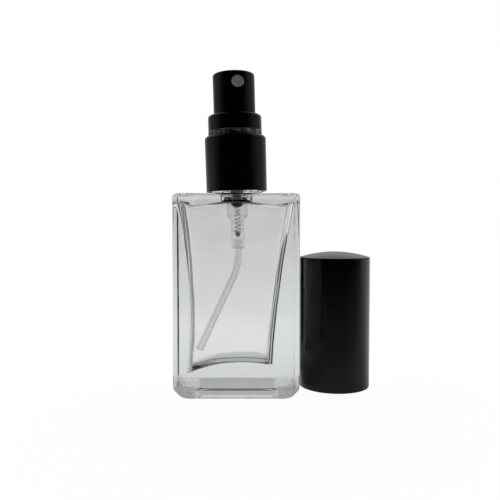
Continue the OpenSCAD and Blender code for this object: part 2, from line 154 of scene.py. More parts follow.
def sweep(name, stations, radius, sides, place, bore=0.0):
    """Tube through stations (centre, side direction, out direction); bore makes it hollow."""
    def ring(centre, side, out, r):
        return [centre + r * math.cos(2 * math.pi * k / sides) * side
                + r * math.sin(2 * math.pi * k / sides) * out for k in range(sides)]

    rows = [ring(c, s, o, radius) for c, s, o in stations]
    if bore:
        rows += [ring(c, s, o, bore) for c, s, o in reversed(stations)]
    return surface(name, rows, place, closed=bore > 0, capped=not bore)


def put(piece, body, slot, material, *nodes):
    """Dresses a piece and ties it to its body; it stands for the CAD nodes named."""
    piece.data.materials.clear()
    piece.data.materials.append(material)
    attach(piece, body)
    if nodes:
        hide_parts(*nodes)
    return piece


# ------------------------------------------------------------------ materials

NOISE_LOW, NOISE_HIGH = 0.3, 0.7        # where nearly all of a noise texture's values lie
MOTTLE_LOW, MOTTLE_HIGH = 0.35, 0.65
GRAIN_DEPTH = 0.0002
SCATTER_DEPTH = 0.001


def new_material(name):
    material = bpy.data.materials.new(name)
    material.use_nodes = True
    shader = material.node_tree.nodes["Principled BSDF"]
    return material, material.node_tree, shader


def node(tree, kind, **values):
    """Shader node with its sockets and properties set by name."""
    made = tree.nodes.new(kind)
    for key, value in values.items():
        if key in made.inputs:
            made.inputs[key].default_value = value
        else:
            setattr(made, key, value)
    return made


def object_place(tree):
    """The X, Y and Z sockets of a point of the object."""
    place = node(tree, "ShaderNodeTexCoord")
    parts = node(tree, "ShaderNodeSeparateXYZ")
    tree.links.new(place.outputs["Object"], parts.inputs[0])
    return parts.outputs


def noise_map(tree, scale, detail=3.0, stretch=(1, 1, 1)):
    """Noise over the object, in the row frame; scale is in cycles per metre."""
    place = node(tree, "ShaderNodeTexCoord")
    mapping = node(tree, "ShaderNodeMapping")
    mapping.inputs["Scale"].default_value = stretch
    texture = node(tree, "ShaderNodeTexNoise", Scale=scale, Detail=detail)
    tree.links.new(place.outputs["Object"], mapping.inputs["Vector"])
    tree.links.new(mapping.outputs["Vector"], texture.inputs["Vector"])
    return texture


def spread(tree, texture, low, high):
    """Maps a noise texture's grey onto a range."""
    mapped = node(tree, "ShaderNodeMapRange")
    mapped.inputs["From Min"].default_value = NOISE_LOW
    mapped.inputs["From Max"].default_value = NOISE_HIGH
    mapped.inputs["To Min"].default_value = low
    mapped.inputs["To Max"].default_value = high
    tree.links.new(texture.outputs[0], mapped.inputs["Value"])
    return mapped.outputs["Result"]


def mottle(tree, texture, dark, light):
    """Colour that drifts between two shades with a noise texture."""
    ramp = node(tree, "ShaderNodeValToRGB")
    ramp.color_ramp.elements[0].position = MOTTLE_LOW
    ramp.color_ramp.elements[0].color = (*dark, 1)
    ramp.color_ramp.elements[1].position = MOTTLE_HIGH
    ramp.color_ramp.elements[1].color = (*light, 1)
    tree.links.new(texture.outputs[0], ramp.inputs["Fac"])
    return ramp.outputs["Color"]


def dress(tree, shader, texture, dark, light, rough):
    """Colour and roughness that drift together with one noise texture."""
    tree.links.new(mottle(tree, texture, dark, light), shader.inputs["Base Color"])
    tree.links.new(spread(tree, texture, *rough), shader.inputs["Roughness"])


def roughen(tree, shader, texture, strength, depth):
    """Fine relief from a noise texture."""
    relief = node(tree, "ShaderNodeBump", Strength=strength, Distance=depth)
    tree.links.new(texture.outputs[0], relief.inputs["Height"])
    tree.links.new(relief.outputs["Normal"], shader.inputs["Normal"])


def plastic(name, dark, light, rough, bump=0.02, specular=0.5, see_through=0.0, scatter=0.0,
            bend=1.5, drift=120, stretch=(1, 1, 1)):
    """Moulded plastic: drifting shade, fine grain, and roughness that varies over the surface."""
    material, tree, shader = new_material(name)
    broad = noise_map(tree, drift, stretch=stretch)
    fine = noise_map(tree, 4000, 2.0)
    dress(tree, shader, broad, dark, light, rough)
    roughen(tree, shader, fine, bump, GRAIN_DEPTH)
    shader.inputs["Specular IOR Level"].default_value = specular
    shader.inputs["IOR"].default_value = bend
    shader.inputs["Transmission Weight"].default_value = see_through
    shader.inputs["Subsurface Weight"].default_value = scatter
    shader.inputs["Subsurface Radius"].default_value = (SCATTER_DEPTH,) * 3
    return material


def metal(name, dark, light, rough, stretch=(1, 1, 1)):
    """Steel whose polish varies a little; stretch draws the marks out."""
    material, tree, shader = new_material(name)
    marks = noise_map(tree, 2500, 2.0, stretch)
    dress(tree, shader, marks, dark, light, rough)
    roughen(tree, shader, marks, 0.05, 0.0001)
    shader.inputs["Metallic"].default_value = 1.0
    return material


def band_of(tree, source, low, high):
    """0 below low, 1 above high, with a smooth rise between."""
    mapped = node(tree, "ShaderNodeMapRange", interpolation_type="SMOOTHSTEP")
    mapped.inputs["From Min"].default_value = low
    mapped.inputs["From Max"].default_value = high
    tree.links.new(source, mapped.inputs["Value"])
    return mapped.outputs["Result"]


def product(tree, a, b):
    times = node(tree, "ShaderNodeMath", operation="MULTIPLY")
    tree.links.new(a, times.inputs[0])
    tree.links.new(b, times.inputs[1])
    return times.outputs[0]


# Where the mould leaves the glass uneven: distance from the middle, then height, in metres
HEEL_MARKS = ((0.0108, 0.0122), (0.0034, 0.0044))
TOP_MARKS = ((0.008, 0.013), (0.054, 0.057))
WAVE_DEPTH, CHILL_DEPTH, FOLD_DEPTH = 0.000075, 0.0005, 0.0004
HEEL_ROUGHNESS = 0.8
PIT_ROUGHNESS = 0.015
TINT, TINT_DENSITY = (0.775, 0.825, 0.77, 1), 30.0


def flint_glass(name):
    """Clear glass: faint surface waves, a grey-green tint that deepens with thickness, and the uneven
    skin the mould leaves at the four heel corners and the upper corners."""
    material, tree, shader = new_material(name)
    waves = noise_map(tree, 130, 2.0, (1, 1, 0.5))
    pits = noise_map(tree, 900, 2.0)
    chill = noise_map(tree, 620, 3.0)
    folds = noise_map(tree, 330, 2.0, (0.5, 1, 1.6))

    spot = object_place(tree)
    off_centre = node(tree, "ShaderNodeMath", operation="ABSOLUTE")
    down = node(tree, "ShaderNodeMath", operation="MULTIPLY")
    down.inputs[1].default_value = -1
    tree.links.new(spot["X"], off_centre.inputs[0])
    tree.links.new(spot["Z"], down.inputs[0])
    (heel_in, heel_out), (heel_low, heel_high) = HEEL_MARKS
    heel = product(tree, band_of(tree, off_centre.outputs[0], heel_in, heel_out),
                   band_of(tree, down.outputs[0], -heel_high, -heel_low))
    top = product(tree, band_of(tree, off_centre.outputs[0], *TOP_MARKS[0]),
                  band_of(tree, spot["Z"], *TOP_MARKS[1]))

    normal = None
    for share, texture, depth in ((None, waves, WAVE_DEPTH), (heel, chill, CHILL_DEPTH),
                                  (top, folds, FOLD_DEPTH)):
        relief = node(tree, "ShaderNodeBump", Strength=1.0, Distance=depth)
        tree.links.new(texture.outputs[0], relief.inputs["Height"])
        if share:
            tree.links.new(share, relief.inputs["Strength"])
        if normal:
            tree.links.new(normal, relief.inputs["Normal"])
        normal = relief.outputs["Normal"]
    tree.links.new(normal, shader.inputs["Normal"])

    tree.links.new(mottle(tree, waves, (0.97, 0.98, 0.975), (1, 1, 1)), shader.inputs["Base Color"])
    rough = node(tree, "ShaderNodeMath", operation="MULTIPLY_ADD")
    rough.inputs[1].default_value = HEEL_ROUGHNESS
    tree.links.new(heel, rough.inputs[0])
    tree.links.new(spread(tree, pits, 0.0, PIT_ROUGHNESS), rough.inputs[2])
    tree.links.new(rough.outputs[0], shader.inputs["Roughness"])
    shader.inputs["IOR"].default_value = 1.5
    shader.inputs["Transmission Weight"].default_value = 1.0

    tint = node(tree, "ShaderNodeVolumeAbsorption", Density=TINT_DENSITY)
    tint.inputs["Color"].default_value = TINT
    tree.links.new(tint.outputs["Volume"], tree.nodes["Material Output"].inputs["Volume"])
    return material


GLASS = flint_glass("flint_glass")
BLACK = plastic("satin_black", (0.0006, 0.0006, 0.0006), (0.0012, 0.0012, 0.0012), (0.20, 0.26),
                specular=0.32)
CAP_BLACK = plastic("cap_black", (0.0006, 0.0007, 0.0006), (0.0012, 0.0013, 0.0012), (0.15, 0.21),
                    specular=0.3)
# Glossy black band whose colour drifts to light grey in streaks drawn out round it: painted highlights for the
# glints along the band
BAND_PAINTED_HIGHLIGHTS = plastic("band_black_painted_highlights", (0.001, 0.001, 0.001), (0.42, 0.43, 0.41), (0.12, 0.2),
               bump=0.01, drift=400, stretch=(1, 1, 2.6))
LINER = plastic("liner_black", (0.01, 0.01, 0.01), (0.018, 0.018, 0.018), (0.45, 0.55))
NOZZLE = plastic("nozzle_grey", (0.74, 0.74, 0.725), (0.84, 0.84, 0.825), (0.35, 0.45))
HOUSING = plastic("natural_polypropylene", (0.98, 0.985, 0.985), (0.995, 0.998, 0.998), (0.28, 0.4),
                  see_through=0.985, bend=1.15)
TUBE = plastic("clear_polyethylene", (0.92, 0.925, 0.93), (0.955, 0.96, 0.965), (0.16, 0.26),
               see_through=0.97, bend=1.17)
FOAM = plastic("foam_white", (0.75, 0.75, 0.73), (0.82, 0.82, 0.80), (0.6, 0.7), bump=0.2)
RUBBER = plastic("seal_rubber", (0.03, 0.03, 0.03), (0.06, 0.06, 0.06), (0.45, 0.55))
WHITE_PE = plastic("white_polyethylene", (0.62, 0.62, 0.60), (0.70, 0.70, 0.68), (0.35, 0.45), scatter=0.2)
WIRE = metal("spring_wire", (0.66, 0.66, 0.67), (0.8, 0.8, 0.81), (0.15, 0.3), (1, 1, 8))
BALL = metal("ball_steel", (0.6, 0.6, 0.61), (0.7, 0.7, 0.71), (0.04, 0.09))


# ------------------------------------------------------------------ glass bottle, in millimetres

UPRIGHT_R = 1.6
REAR_RIGHT_R, REAR_RIGHT_DRIFT = 2.4, 0.5
REAR_LEFT_R, REAR_LEFT_DRIFT = 1.25, 0.3
DRIFT_LENGTH = 4.5
SHOULDER_R = 1.3
SIDE_HEEL_W, SIDE_HEEL_H, SIDE_FLATNESS = 2.2, 3.6, 1.4
FACE_HEEL_W, FACE_HEEL_H = 2.2, 3.0
HEEL_CORNER_R = 2.6
HEEL_HEIGHTS = (0, 0.05, 0.12, 0.25, 0.5, 0.8, 1.1, 1.4, 1.7, 2.0, 2.3, 2.6, 2.8, 2.93, 3.0, 3.07, 3.2, 3.4,
                SIDE_HEEL_H)
FOOT_INSET, FOOT_H = 0.15, 0.25
SIDE_WAIST = 0.06
RECESS_HALF_W, RECESS_HALF_D, RECESS_R, RECESS_DEPTH = 11.2, 6.6, 2.5, 0.35
RECESS_LIP = ((0.25, 0.25), (0.5, 0.08), (0.8, 0.0))
CORNER_STEPS, WIDE_STEPS, DEEP_STEPS = 12, 30, 18
SIDE_STEPS, CAVITY_STEPS = 60, 110

CAVITY_HALF_D = HALF_D - 3.0
CAVITY_EDGE_RADII = (2.4, 2.4, 0.9, 0.9)
LEAST_EDGE_R = 0.4
FACE_WAIST, FACE_WAIST_LOW, FACE_WAIST_SPAN = 0.5, 8.5, 48
FRONT_FLARE = 0.8
LEFT_WALL = ((-16.4, 55.4), (-13.0, 27.5), (-13.8, 7.9))
RIGHT_WALL = ((16.4, 55.4), (12.0, 27.5), (10.4, 10.1))
FLOOR = ((-13.8, 7.9), (-1.5, 11.0), (10.4, 10.1))
FLOOR_OUTLINE_Z = 10
FLOOR_FALL = 0.010
FLOOR_EDGE_R = 0.4
CEILING_SIDE, CEILING_CROWN, CROWN_SPREAD = 55.4, 56.5, 7.5
CORNER_RISE, CORNER_X, CORNER_SPREAD = 1.3, 16.2, 2.0
CEILING_EDGE_R = 0.8
WAVE_SHIFT, WAVE_LENGTH = 0.13, 9.0

LIP_H = 13.8
LIP_R, LIP_BORE_R = 0.5, 0.4
NECK_R = 6.45
NECK_ROOT_R = 7.3
THREAD_START_H, THREAD_END_H, THREAD_ROW = 3.4, LIP_H - 0.6, 0.14
THREAD_DATUM_H = LIP_H - 5.9
THREAD_FROM, THREAD_TO = -0.25, 2.1    # turns
THREAD_DEPTH, THREAD_HALF_W = 0.75, 0.5
THREAD_PITCH = 2.117
BORE_R = 4.7
BORE_ROWS, BORE_ROW = 8, 1.6
BORE_FLARE = 1.0


def rectangle_row(left, right, front, back, r):
    """Round-cornered rectangle, its points always in the same order from the front right corner;
    r is one radius or four."""
    radii = r if isinstance(r, tuple) else (r,) * 4
    centres = [(right - radii[0], front + radii[0], -90), (right - radii[1], back - radii[1], 0),
               (left + radii[2], back - radii[2], 90), (left + radii[3], front + radii[3], 180)]
    turns = [arc(x, y, r, start, start + 90, CORNER_STEPS) for (x, y, start), r in zip(centres, radii)]
    row = []
    for index, turned in enumerate(turns):
        row += turned
        begin, end = Vector(turned[-1]), Vector(turns[(index + 1) % 4][0])
        steps = DEEP_STEPS if index % 2 == 0 else WIDE_STEPS
        row += [tuple(begin.lerp(end, i / steps)) for i in range(1, steps)]
    return row


def circle_row(r):
    """Circle whose points pair up with those of the body's rectangle."""
    outline = rectangle_row(-HALF_W, HALF_W, -HALF_D, HALF_D, UPRIGHT_R)
    angles = [math.atan2(y / HALF_D, x / HALF_W) for x, y in outline]
    return [(r * math.cos(a), r * math.sin(a)) for a in angles]


def circle_through(a, b, c):
    """Centre and radius of the circle through three points of a profile."""
    (ax, ay), (bx, by), (cx, cy) = a, b, c
    d = 2 * (ax * (by - cy) + bx * (cy - ay) + cx * (ay - by))
    a2, b2, c2 = ax * ax + ay * ay, bx * bx + by * by, cx * cx + cy * cy
    x = (a2 * (by - cy) + b2 * (cy - ay) + c2 * (ay - by)) / d
    y = (a2 * (cx - bx) + b2 * (ax - cx) + c2 * (bx - ax)) / d
    return x, y, math.hypot(ax - x, ay - y)


def fraction(value, low, span):
    """How far a value is along a span, from 0 to 1."""
    return min(1, max(0, (value - low) / span))


def wall_x(wall, z):
    """Place of a cavity side wall at a height, on its arc."""
    x, y, r = circle_through(*wall)
    side = math.copysign(1, wall[1][0] - x)
    return x + side * math.sqrt(max(0, r * r - (z - y) ** 2))


def floor_z(x, y):
    """Cavity floor: an arc across the bottle that falls toward the front and the back."""
    cx, cz, r = circle_through(*FLOOR)
    return cz + math.sqrt(max(0, r * r - (x - cx) ** 2)) - FLOOR_FALL * y * y


def ceiling_z(x):
    """Cavity ceiling: raised under the neck and again at each upper corner."""
    crown = (CEILING_CROWN - CEILING_SIDE) * math.exp(-(x / CROWN_SPREAD) ** 2)
    corner = CORNER_RISE * math.exp(-((abs(x) - CORNER_X) / CORNER_SPREAD) ** 2)
    return CEILING_SIDE + crown + corner


def at_height(row, z):
    return [(x, y, z) for x, y in row]


def outer_rows():
    """Rows from the middle of the base up to the edge of the shoulder."""
    recess = rectangle_row(-RECESS_HALF_W, RECESS_HALF_W, -RECESS_HALF_D, RECESS_HALF_D, RECESS_R)
    rows = []
    for scale in (0.03, 0.3, 0.6, 0.85, 1.0):
        rows.append(at_height([(x * scale, y * scale) for x, y in recess], RECESS_DEPTH))
    for grow, z in RECESS_LIP:
        w, d = RECESS_HALF_W + grow, RECESS_HALF_D + grow
        rows.append(at_height(rectangle_row(-w, w, -d, d, RECESS_R + grow), z))

    sides = []
    for z in HEEL_HEIGHTS:
        foot = FOOT_INSET * max(0, 1 - z / FOOT_H) ** 2
        turn = math.acos(max(0, 1 - z / SIDE_HEEL_H) ** (SIDE_FLATNESS / 2))
        side_inset = SIDE_HEEL_W * (1 - math.sin(turn) ** (2 / SIDE_FLATNESS))
        sides.append((side_inset + foot, FACE_HEEL_W * max(0, 1 - z / FACE_HEEL_H) + foot, z))
    low, high = SIDE_HEEL_H, SHOULDER_Z - SHOULDER_R
    sides += [(0, 0, low + (high - low) * i / SIDE_STEPS) for i in range(1, SIDE_STEPS)]
    for angle in range(0, 91, 9):
        inset = SHOULDER_R * (1 - math.cos(math.radians(angle)))
        sides.append((inset, inset, high + SHOULDER_R * math.sin(math.radians(angle))))

    for side_inset, face_inset, z in sides:
        waist = SIDE_WAIST * math.sin(math.pi * fraction(z, low, high - low)) ** 2
        w, d = HALF_W - side_inset - waist, HALF_D - face_inset
        drift = noise.noise(Vector((0, 0, z / DRIFT_LENGTH)))
        upright = (UPRIGHT_R, REAR_RIGHT_R + REAR_RIGHT_DRIFT * drift,
                   REAR_LEFT_R + REAR_LEFT_DRIFT * drift, UPRIGHT_R)
        heel = min(1, 1.5 * max(0, 1 - z / SIDE_HEEL_H))
        radii = tuple(r + (HEEL_CORNER_R - r) * heel for r in upright)
        rows.append(at_height(rectangle_row(-w, w, -d, d, radii), z))
    return rows


def neck_rows():
    """Rows up the outside of the neck, over the lip and down the bore, in the neck's frame."""
    root = ((NECK_ROOT_R + 0.7, 0.02), (NECK_ROOT_R + 0.25, 0.2), (NECK_ROOT_R, 0.6), (NECK_ROOT_R, 1.7),
            (NECK_ROOT_R - 0.25, 2.1), (NECK_R + 0.2, 2.7), (NECK_R, 3.1))
    rows = [at_height(circle_row(r), z) for r, z in root]
    z = THREAD_START_H
    while z < THREAD_END_H:
        row = []
        for x, y in circle_row(1):
            turn = math.atan2(y, x) / (2 * math.pi) % 1
            phase = (z - THREAD_DATUM_H) / THREAD_PITCH - turn
            near = phase - round(phase)
            on = 1 if THREAD_FROM < phase < THREAD_TO else 0
            r = NECK_R + on * THREAD_DEPTH * max(0, 1 - (abs(near) * THREAD_PITCH / THREAD_HALF_W) ** 2)
            row.append((x * r, y * r, z))
        rows.append(row)
        z += THREAD_ROW
    lip = [(NECK_R, LIP_H - LIP_R)] + arc(NECK_R - LIP_R, LIP_H - LIP_R, LIP_R, 0, 90, 4)[1:]
    lip += [(BORE_R + LIP_BORE_R, LIP_H)] + arc(BORE_R + LIP_BORE_R, LIP_H - LIP_BORE_R, LIP_BORE_R, 90, 180, 4)[1:]
    rows += [at_height(circle_row(r), z) for r, z in lip]
    rows += [at_height(circle_row(BORE_R), LIP_H - LIP_BORE_R - i * BORE_ROW) for i in range(1, BORE_ROWS + 1)]
    return rows


def cavity_outline(inset, z):
    """Outline of the cavity at a height: waisted on all sides, its front wider toward the left."""
    left, right = wall_x(LEFT_WALL, z), wall_x(RIGHT_WALL, z)
    depth = CAVITY_HALF_D - inset - FACE_WAIST * math.sin(math.pi * fraction(z, FACE_WAIST_LOW, FACE_WAIST_SPAN))
    radii = tuple(max(LEAST_EDGE_R, r - inset) for r in CAVITY_EDGE_RADII)
    row = rectangle_row(left + inset, right - inset, -depth, depth, radii)
    return [(x - FRONT_FLARE * max(0, -x / HALF_W) * max(0, 0.5 - y / (2 * CAVITY_HALF_D)), y) for x, y in row]


def cavity_rows():
    """Rows from the foot of the bore out over the ceiling, down the walls and in over the floor."""
    rows = []
    flare = circle_row(BORE_R)
    for grow, rise in ((0.1, 0.55), (0.4, 0.2), (BORE_FLARE, 0.0)):
        scale = 1 + grow / BORE_R
        rows.append([(x * scale, y * scale, ceiling_z(x) + rise) for x, y in flare])

    start = circle_row(BORE_R + BORE_FLARE)
    edge = cavity_outline(CEILING_EDGE_R, CEILING_SIDE)
    for t in (0.25, 0.5, 0.75, 1.0):
        row = [Vector(a).lerp(Vector(b), t) for a, b in zip(start, edge)]
        rows.append([(p.x, p.y, ceiling_z(p.x)) for p in row])
    for angle in range(15, 91, 15):
        inset = CEILING_EDGE_R * (1 - math.sin(math.radians(angle)))
        drop = CEILING_EDGE_R * (1 - math.cos(math.radians(angle)))
        rows.append([(x, y, ceiling_z(x) - drop) for x, y in cavity_outline(inset, CEILING_SIDE)])

    for i in range(1, CAVITY_STEPS):
        t = i / CAVITY_STEPS
        row = []
        for x, y in cavity_outline(0, CEILING_SIDE + (FLOOR_OUTLINE_Z - CEILING_SIDE) * t):
            high, low = ceiling_z(x) - CEILING_EDGE_R, floor_z(x, y) + FLOOR_EDGE_R
            row.append((x, y, high + (low - high) * t))
        rows.append(row)

    for angle in range(0, 91, 10):
        inset = FLOOR_EDGE_R * (1 - math.cos(math.radians(angle)))
        rise = FLOOR_EDGE_R * (1 - math.sin(math.radians(angle)))
        rows.append([(x, y, floor_z(x, y) + rise) for x, y in cavity_outline(inset, FLOOR_OUTLINE_Z)])
    foot = cavity_outline(FLOOR_EDGE_R, FLOOR_OUTLINE_Z)
    middle = Vector((sum(p[0] for p in foot) / len(foot), 0))
    for scale in (0.9, 0.78, 0.64, 0.5, 0.36, 0.22, 0.1, 0.02):
        row = [middle.lerp(Vector(p), scale) for p in foot]
        rows.append([(p.x, p.y, floor_z(p.x, p.y)) for p in row])
    return rows


def wavy(point):
    """Small smooth shift of a point, as blown glass has."""
    shift = noise.noise_vector(Vector(point) / WAVE_LENGTH)
    return tuple(Vector(point) + WAVE_SHIFT * Vector((shift.x, shift.y, 0.4 * shift.z)))


def glass_bottle():
    """The block, neck, bore and cavity as one closed surface."""
    lean = NECK.to_3x3()
    base = Vector((0, 0, SHOULDER_Z))
    rows = outer_rows()
    rows += [[tuple(base + lean @ Vector(p)) for p in row] for row in neck_rows()]
    rows += [[wavy(p) for p in row] for row in cavity_rows()]
    piece = surface("glass_bottle_body", rows, Matrix.Identity(4), closed=False, capped=True, sharp_deg=60)
    return put(piece, "bottle", "flint_glass", GLASS, "glass_bottle")


# ------------------------------------------------------------------ collar, in millimetres up the neck

BAND_R, BAND_LUGS, BAND_LUG_H, BAND_LUG_ANGLE = 8.0, 15, 0.22, 0.26
BAND_STEPS = 240
RING_BORE_R, RING_FOOT_R, RING_GUIDE_R, RING_HOLE_R = 7.5, 8.38, 6.47, 4.42
RING_FOOT_H, RING_DECK_H = 1.0, 15.66


def closure_band():
    """Threaded ring, seen only as the glossy band; small lugs round it catch the light, and its colour carries
    painted highlights in light grey streaks.
    """
    r, low, high = neck_size("collar_top_ring")
    deck = neck_size("collar_sleeve")[2]
    band_low, band_high = deck - 0.6, low - 0.02
    profile = [(RING_BORE_R, RING_FOOT_H), (RING_FOOT_R, RING_FOOT_H), (RING_FOOT_R, band_low - 0.02),
               (BAND_R - 0.15, band_low - 0.02), (BAND_R, band_low + 0.15)]
    profile += [(BAND_R, band_low + 0.6 + 0.2 * i) for i in range(6)]
    profile += [(BAND_R, band_high - 0.1), (BAND_R - 0.1, band_high), (r - 0.72, band_high), (r - 0.72, high - 0.8),
                (RING_GUIDE_R, high - 0.8), (RING_GUIDE_R, deck + 0.05), (RING_HOLE_R, deck + 0.05),
                (RING_HOLE_R, RING_DECK_H), (RING_BORE_R, RING_DECK_H)]
    rows = []
    for radius, z in profile:
        row = []
        for i in range(BAND_STEPS):
            angle = 2 * math.pi * i / BAND_STEPS
            lug = max(0, math.cos(BAND_LUGS * (angle + BAND_LUG_ANGLE))) ** 2
            rr = radius - BAND_LUG_H + BAND_LUG_H * lug if radius == BAND_R else radius
            row.append((rr * math.cos(angle), rr * math.sin(angle), z))
        rows.append(row)
    piece = surface("closure_ring_inner", rows, NECK, closed=True, sharp_deg=35)
    return put(piece, "collar", "black_gloss", BAND_PAINTED_HIGHLIGHTS, "closure_ring")


def collar_sleeve():
    r, low, high = neck_size("collar_sleeve")
    draft, edge, wall_r, deck_r = 0.08, 1.1, 8.4, 8.01
    profile = [(r - draft - 0.12, low), (r - draft, low + 0.14), (r, high - edge)]
    profile += arc(r - edge, high - edge, edge, 0, 85, 10)[1:]
    profile += [(deck_r + 0.02, high - 0.02), (deck_r, high - 0.08), (deck_r, high - 0.6),
                (wall_r, high - 0.6), (wall_r, low + 0.1), (wall_r + 0.1, low)]
    piece = lathe("collar_sleeve_shell", profile, NECK, 160)
    return put(piece, "collar", "black_satin", BLACK, "collar_sleeve")


def collar_top_ring():
    r, low, high = neck_size("collar_top_ring")
    edge, bore_r, wall = 0.8, 6.45, 0.7
    profile = [(r - 0.1, low), (r, low + 0.12)] + arc(r - edge, high - edge, edge, 0, 90, 10)
    profile += [(bore_r + 0.15, high), (bore_r, high - 0.12), (bore_r, high - 0.6),
                (r - wall, high - 0.7), (r - wall, low)]
    piece = lathe("collar_top_ring_shell", profile, NECK, 160)
    return put(piece, "collar", "black_satin", BLACK, "collar_top_ring")


# ------------------------------------------------------------------ actuator and nozzle

NOZZLE_DROP = 3.2
NOZZLE_R = 1.8
NOZZLE_CLEARANCE = 0.08
NOZZLE_POCKET, NOZZLE_LENGTH = 2.6, 2.2
DISH_R, DISH_DEPTH = 4.6, 0.35
BUTTON_TOP, BUTTON_BORE_R = 1.3, 5.35
BOSS_R, STEM_SEAT_R, STEM_TOP_H = 2.9, 1.65, 28.7


def nozzle_direction():
    """Turn of the nozzle about the neck, from the CAD insert's place."""
    low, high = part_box("nozzle_insert")
    spot = NECK.inverted() @ ((low + high) / 2)
    return math.atan2(spot.y, spot.x)


def toward_nozzle(high):
    """Frame with its origin on the neck's axis at the nozzle's height and Z out through the nozzle."""
    turn = Matrix.Rotation(nozzle_direction(), 4, "Z")
    rise = Matrix.Translation((0, 0, (high - NOZZLE_DROP) * MM))
    return NECK @ turn @ rise @ Matrix.Rotation(math.radians(90), 4, "Y")


def actuator():
    """Push button with a finger dish and a stem seat, its nozzle pocket cut out."""
    r, low, high = neck_size("actuator")
    edge = 0.6
    profile = [(0, high - DISH_DEPTH)]
    profile += [(x, high - DISH_DEPTH * (1 - (x / DISH_R) ** 2)) for x in (1, 2, 3, 3.8, 4.3)]
    profile += [(DISH_R, high)] + arc(r - edge, high - edge, edge, 90, 0, 10)
    profile += [(r - 0.02, low + 0.15), (r - 0.14, low), (BUTTON_BORE_R + 0.1, low), (BUTTON_BORE_R, low + 0.1),
                (BUTTON_BORE_R, high - BUTTON_TOP), (BOSS_R, high - BUTTON_TOP), (BOSS_R, low + 0.5),
                (STEM_SEAT_R, low + 0.5), (STEM_SEAT_R, STEM_TOP_H), (0, STEM_TOP_H)]
    piece = lathe("actuator_button", profile, NECK, 160)
    mouth_r = NOZZLE_R + NOZZLE_CLEARANCE
    pocket = [(0, r - NOZZLE_POCKET), (NOZZLE_R, r - NOZZLE_POCKET), (NOZZLE_R, r - 0.05), (mouth_r, r + 0.05),
              (mouth_r, r + 1), (0, r + 1)]
    cutter = lathe("nozzle_pocket", pocket, toward_nozzle(high), 96)
    cut = piece.modifiers.new("pocket", "BOOLEAN")
    cut.object = cutter
    cut.solver = "EXACT"
    graph = bpy.context.evaluated_depsgraph_get()
    mesh = bpy.data.meshes.new_from_object(piece.evaluated_get(graph))
    piece.modifiers.clear()
    piece.data = mesh
    bpy.data.objects.remove(cutter)
    mesh.set_sharp_from_angle(angle=math.radians(SHARP_DEG))
    return put(piece, "head", "black_satin", BLACK, "actuator")


def nozzle_insert():
    """Grey disc with a small cup round its hole, and its short skirt."""
    r, _, high = neck_size("actuator")
    face = r - 0.13
    hole_r, cup_r, skirt_r = 0.14, 0.42, 0.98
    profile = [(0, face - 0.28), (hole_r, face - 0.28), (hole_r, face - 0.12), (cup_r - 0.12, face - 0.02),
               (cup_r, face), (NOZZLE_R - 0.12, face), (NOZZLE_R - 0.03, face - 0.08),
               (NOZZLE_R - 0.02, face - NOZZLE_LENGTH), (skirt_r, face - NOZZLE_LENGTH), (skirt_r, face - 0.8),
               (0, face - 0.8)]
    piece = lathe("nozzle_disc", profile, toward_nozzle(high), 96)
    return put(piece, "head", "nozzle_grey", NOZZLE, "nozzle_insert")


# ------------------------------------------------------------------ pump, in millimetres up the neck

CUP_R, CUP_BORE_R, CUP_FLOOR_H = 4.2, 3.4, 5.8
CHAMBER_R, CHAMBER_BORE_R, CHAMBER_FOOT_H = 2.95, 2.25, -6.3
WELL_R, WELL_BORE_R, WELL_TOP_H, SPRING_SEAT_H = 1.85, 1.3, -7.8, -11.3
BALL_BORE_R, INLET_R, BALL_SEAT_H = 1.05, 0.55, -12.5
SOCKET_R, SOCKET_DEPTH = 1.11, 2.7

TUBE_R, TUBE_BORE_R, TUBE_SIDES = 1.09, 0.6, 40
TUBE_BEND_R, TUBE_BEND, TUBE_STRAIGHT = 19.0, math.radians(26.5), 23.5
TUBE_MOUTH_H, TUBE_DEPTH = -16.0, 2.68
BEND_STEPS, STRAIGHT_STEPS = 24, 8

SPRING_WIRE_R, WIRE_SIDES, COIL_STEPS = 0.135, 12, 32
CLOSED_TURNS, END_RISE = 1.2, 0.004


def pump_housing():
    """Flange, cup, chamber, cone, spring well, ball seat and tube socket as one turned shell."""
    r, low, high = neck_size("pump_housing")
    socket_h = low + SOCKET_DEPTH
    outside = [(CUP_BORE_R, high), (r - 0.1, high), (r, high - 0.1), (r, high - 0.8), (r - 0.1, high - 0.9),
               (CUP_R, high - 0.9), (CUP_R, 5.3), (CUP_R - 0.3, 5.0), (CHAMBER_R, 5.0), (CHAMBER_R, CHAMBER_FOOT_H),
               (CHAMBER_R - 0.1, CHAMBER_FOOT_H - 0.3), (WELL_R + 0.1, WELL_TOP_H + 0.1), (WELL_R, WELL_TOP_H - 0.1),
               (WELL_R, low + 0.15), (WELL_R - 0.15, low)]
    inside = [(SOCKET_R + 0.09, low), (SOCKET_R, low + 0.1), (SOCKET_R, socket_h), (INLET_R, socket_h),
              (INLET_R, BALL_SEAT_H), (BALL_BORE_R, BALL_SEAT_H + 0.5), (BALL_BORE_R, SPRING_SEAT_H),
              (WELL_BORE_R, SPRING_SEAT_H), (WELL_BORE_R, WELL_TOP_H), (CHAMBER_BORE_R, WELL_TOP_H + 1.1),
              (CHAMBER_BORE_R, CUP_FLOOR_H), (CUP_BORE_R, CUP_FLOOR_H)]
    piece = lathe("pump_housing_shell", outside + inside, NECK, 96)
    return put(piece, "pump", "natural_pp", HOUSING, "pump_housing")


